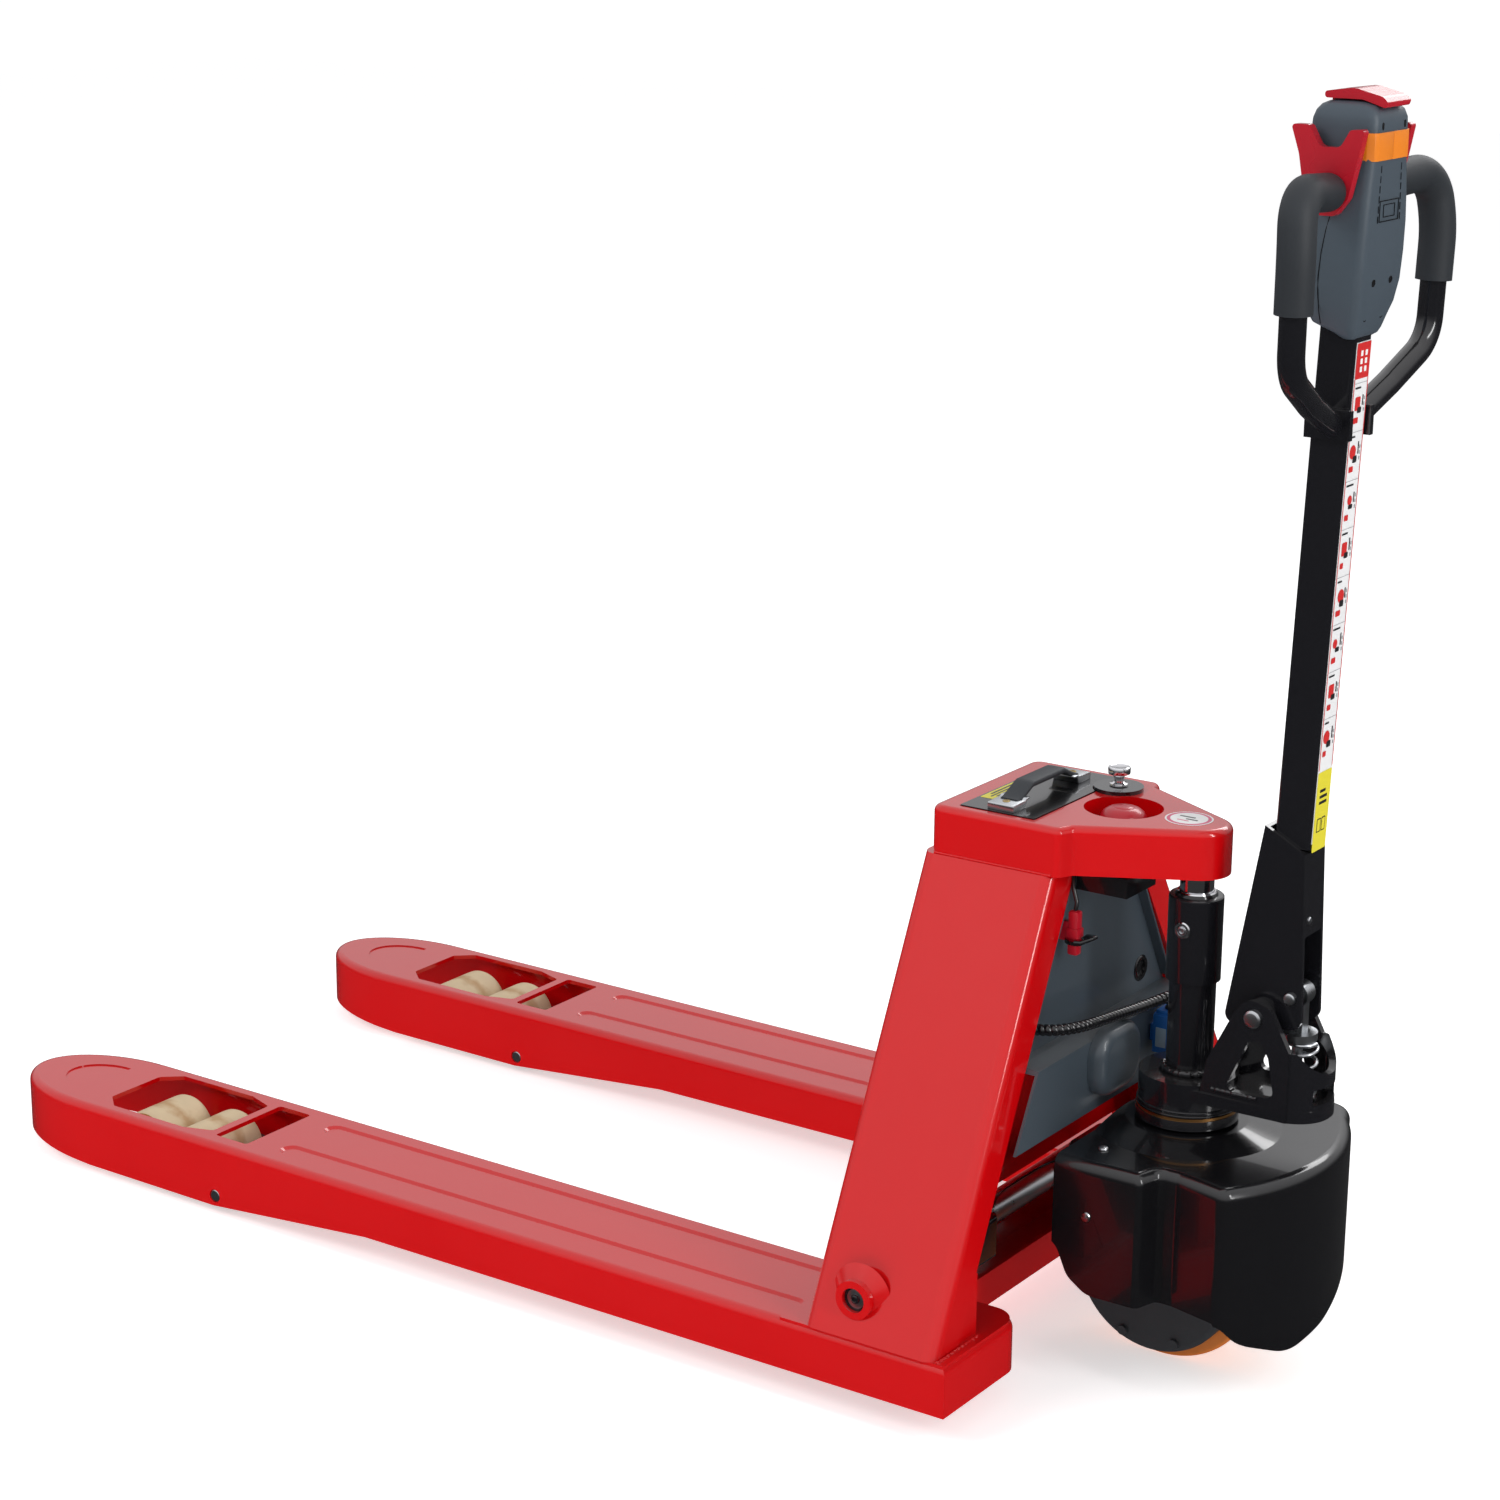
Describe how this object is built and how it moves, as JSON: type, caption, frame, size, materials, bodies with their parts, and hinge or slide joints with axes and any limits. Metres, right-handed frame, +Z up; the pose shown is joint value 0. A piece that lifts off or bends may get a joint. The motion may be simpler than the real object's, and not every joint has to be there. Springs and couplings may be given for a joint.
{
  "type": "electric pallet jack",
  "caption": "Walkie electric pallet truck: two forks with tandem load rollers, sloped uprights, lift cylinder, steered drive unit under a cover, and a sprung tiller with loop handle.",
  "frame": {"origin": "centre of the footprint, on the floor", "axes": "+X from the fork tips to the tiller, +Y to the right hand of an operator who looks at the forks, +Z up"},
  "size_m": [1.5386, 0.685, 1.2756],
  "materials": {
    "red_paint": "gloss",
    "grey_paint": "semi-gloss",
    "black_paint": "gloss",
    "zinc_steel": "zinc plated",
    "chrome_rod": "polished",
    "cast_steel": "as cast",
    "bronze": "bronze",
    "roller_polymer": "cream polyurethane, dusty",
    "drive_polymer": "orange polyurethane",
    "black_plastic": "satin",
    "slate_plastic": "fine grain",
    "red_plastic": "gloss",
    "orange_plastic": "gloss",
    "blue_plastic": "gloss",
    "label_film": "printed film",
    "grip_foam": "matte"
  },
  "bodies": {
    "fork_frame": {"left_fork": "red_paint", "right_fork": "red_paint", "left_upright": "red_paint", "right_upright": "red_paint", "hood": "red_paint", "cross_member": "red_paint", "front_plate": "red_paint", "rear_panel": "grey_paint", "pump_tray": "grey_paint", "pump_motor": "grey_paint", "motor_controller": "black_plastic", "load_arm_pins": "zinc_steel", "latch_plate": "black_paint", "stop_switch": "black_plastic", "harness_connector": "blue_plastic", "fuse_holder": "red_plastic", "piston_rod": "chrome_rod", "rocker_shaft": "zinc_steel", "cable_harness": "black_plastic"},
    "battery": {"battery_pack": "black_plastic", "battery_handle": "black_plastic", "handle_brackets": "zinc_steel"},
    "latch": {"latch_knob": "chrome_rod"},
    "stop_button": {"stop_button": "red_plastic"},
    "rocker": {"rocker": "black_paint"},
    "left_arm": {"left_load_arm": "black_paint"},
    "right_arm": {"right_load_arm": "black_paint"},
    "left_rod": {"left_push_rod": "cast_steel"},
    "right_rod": {"right_push_rod": "cast_steel"},
    "left_bogie": {"left_bogie": "black_paint"},
    "right_bogie": {"right_bogie": "black_paint"},
    "left_front_roller": {"left_front_roller": "roller_polymer"},
    "left_rear_roller": {"left_rear_roller": "roller_polymer"},
    "right_front_roller": {"right_front_roller": "roller_polymer"},
    "right_rear_roller": {"right_rear_roller": "roller_polymer"},
    "lift_carriage": {"bearing_housing": "black_paint", "thrust_bearing": "bronze"},
    "steering_head": {"lift_cylinder": "black_paint", "tiller_bracket": "black_paint", "drive_fork": "black_paint", "gear_case": "cast_steel", "drive_motor": "black_paint", "drive_cover": "black_plastic", "cover_screws": "zinc_steel", "tiller_pivot_pin": "zinc_steel", "return_spring": "zinc_steel"},
    "drive_wheel": {"drive_tyre": "drive_polymer", "drive_hub": "cast_steel"},
    "tiller": {"tiller_yoke": "black_paint", "tiller_tube": "black_paint", "tiller_label": "label_film", "control_head": "slate_plastic", "handle_loop": "black_paint", "handle_grips": "grip_foam", "head_band": "orange_plastic", "spring_pin": "zinc_steel"},
    "spring_rod": {"spring_rod": "zinc_steel"},
    "throttle": {"throttle": "red_plastic"},
    "belly_button": {"belly_button": "red_plastic"}
  },
  "joints": [
    {"name": "lift", "type": "slide", "parent": "fork_frame", "child": "lift_carriage", "axis": [0, 0, -1], "range_m": [0, 0.115]},
    {"name": "steer", "type": "hinge", "parent": "lift_carriage", "child": "steering_head", "pos_m": [0.60365, 0, 0.25], "axis": [0, 0, 1], "range_deg": [-90, 90]},
    {"name": "drive_wheel_spin", "type": "hinge", "parent": "steering_head", "child": "drive_wheel", "pos_m": [0.60365, 0, 0.1], "axis": [0, 1, 0], "continuous": true},
    {"name": "tiller_tilt", "type": "hinge", "parent": "steering_head", "child": "tiller", "pos_m": [0.69065, 0, 0.383], "axis": [0, 1, 0], "range_deg": [0, 75], "stiffness_Nm_per_rad": 35, "springref_deg": -40.11, "deforming": ["return_spring"]},
    {"name": "spring_rod_swing", "type": "hinge", "parent": "tiller", "child": "spring_rod", "pos_m": [0.72065, 0, 0.405], "axis": [0, -1, 0], "range_deg": [0, 75]},
    {"name": "throttle_turn", "type": "hinge", "parent": "tiller", "child": "throttle", "pos_m": [0.72865, 0, 1.184], "axis": [0, 1, 0], "range_deg": [-20, 20], "stiffness_Nm_per_rad": 2},
    {"name": "belly_button_push", "type": "slide", "parent": "tiller", "child": "belly_button", "axis": [-0.037, 0, -0.9993], "range_m": [0, 0.0035], "stiffness_N_per_m": 900, "springref_m": -0.003},
    {"name": "stop_button_push", "type": "slide", "parent": "fork_frame", "child": "stop_button", "axis": [0, 0, -1], "range_m": [0, 0.006], "stiffness_N_per_m": 1200, "springref_m": -0.003},
    {"name": "battery_lift_out", "type": "slide", "parent": "fork_frame", "child": "battery", "axis": [0, 0, 1], "range_m": [0, 0.3]},
    {"name": "latch_turn", "type": "hinge", "parent": "fork_frame", "child": "latch", "pos_m": [0.48265, 0.055, 0.56], "axis": [0, 0, 1], "range_deg": [0, 90]},
    {"name": "rocker_turn", "type": "hinge", "parent": "fork_frame", "child": "rocker", "pos_m": [0.42165, 0, 0.122], "axis": [0, 1, 0], "range_deg": [0, 39.75]},
    {"name": "left_arm_turn", "type": "hinge", "parent": "fork_frame", "child": "left_arm", "pos_m": [-0.42135, -0.2675, 0.022], "axis": [0, -1, 0], "range_deg": [0, 79.71]},
    {"name": "left_rod_turn", "type": "hinge", "parent": "left_arm", "child": "left_rod", "pos_m": [-0.39892, -0.2675, 0.04887], "axis": [0, 1, 0], "range_deg": [0, 79.71]},
    {"name": "left_bogie_turn", "type": "hinge", "parent": "left_arm", "child": "left_bogie", "pos_m": [-0.52535, -0.2675, 0.0375], "axis": [0, 1, 0], "range_deg": [0, 79.71]},
    {"name": "left_front_roller_spin", "type": "hinge", "parent": "left_bogie", "child": "left_front_roller", "pos_m": [-0.56435, -0.2675, 0.0375], "axis": [0, 1, 0], "continuous": true},
    {"name": "left_rear_roller_spin", "type": "hinge", "parent": "left_bogie", "child": "left_rear_roller", "pos_m": [-0.48635, -0.2675, 0.0375], "axis": [0, 1, 0], "continuous": true},
    {"name": "right_arm_turn", "type": "hinge", "parent": "fork_frame", "child": "right_arm", "pos_m": [-0.42135, 0.2675, 0.022], "axis": [0, -1, 0], "range_deg": [0, 79.71]},
    {"name": "right_rod_turn", "type": "hinge", "parent": "right_arm", "child": "right_rod", "pos_m": [-0.39892, 0.2675, 0.04887], "axis": [0, 1, 0], "range_deg": [0, 79.71]},
    {"name": "right_bogie_turn", "type": "hinge", "parent": "right_arm", "child": "right_bogie", "pos_m": [-0.52535, 0.2675, 0.0375], "axis": [0, 1, 0], "range_deg": [0, 79.71]},
    {"name": "right_front_roller_spin", "type": "hinge", "parent": "right_bogie", "child": "right_front_roller", "pos_m": [-0.56435, 0.2675, 0.0375], "axis": [0, 1, 0], "continuous": true},
    {"name": "right_rear_roller_spin", "type": "hinge", "parent": "right_bogie", "child": "right_rear_roller", "pos_m": [-0.48635, 0.2675, 0.0375], "axis": [0, 1, 0], "continuous": true}
  ],
  "couplings": [
    {"joint": "rocker_turn", "follows": "lift", "rad_per_m": 6.0313},
    {"joint": "spring_rod_swing", "follows": "tiller_tilt", "ratio": 1},
    {"joint": "left_arm_turn", "follows": "lift", "rad_per_m": 12.096},
    {"joint": "left_rod_turn", "follows": "lift", "rad_per_m": 12.096},
    {"joint": "left_bogie_turn", "follows": "lift", "rad_per_m": 12.096},
    {"joint": "right_arm_turn", "follows": "lift", "rad_per_m": 12.096},
    {"joint": "right_rod_turn", "follows": "lift", "rad_per_m": 12.096},
    {"joint": "right_bogie_turn", "follows": "lift", "rad_per_m": 12.096}
  ]
}
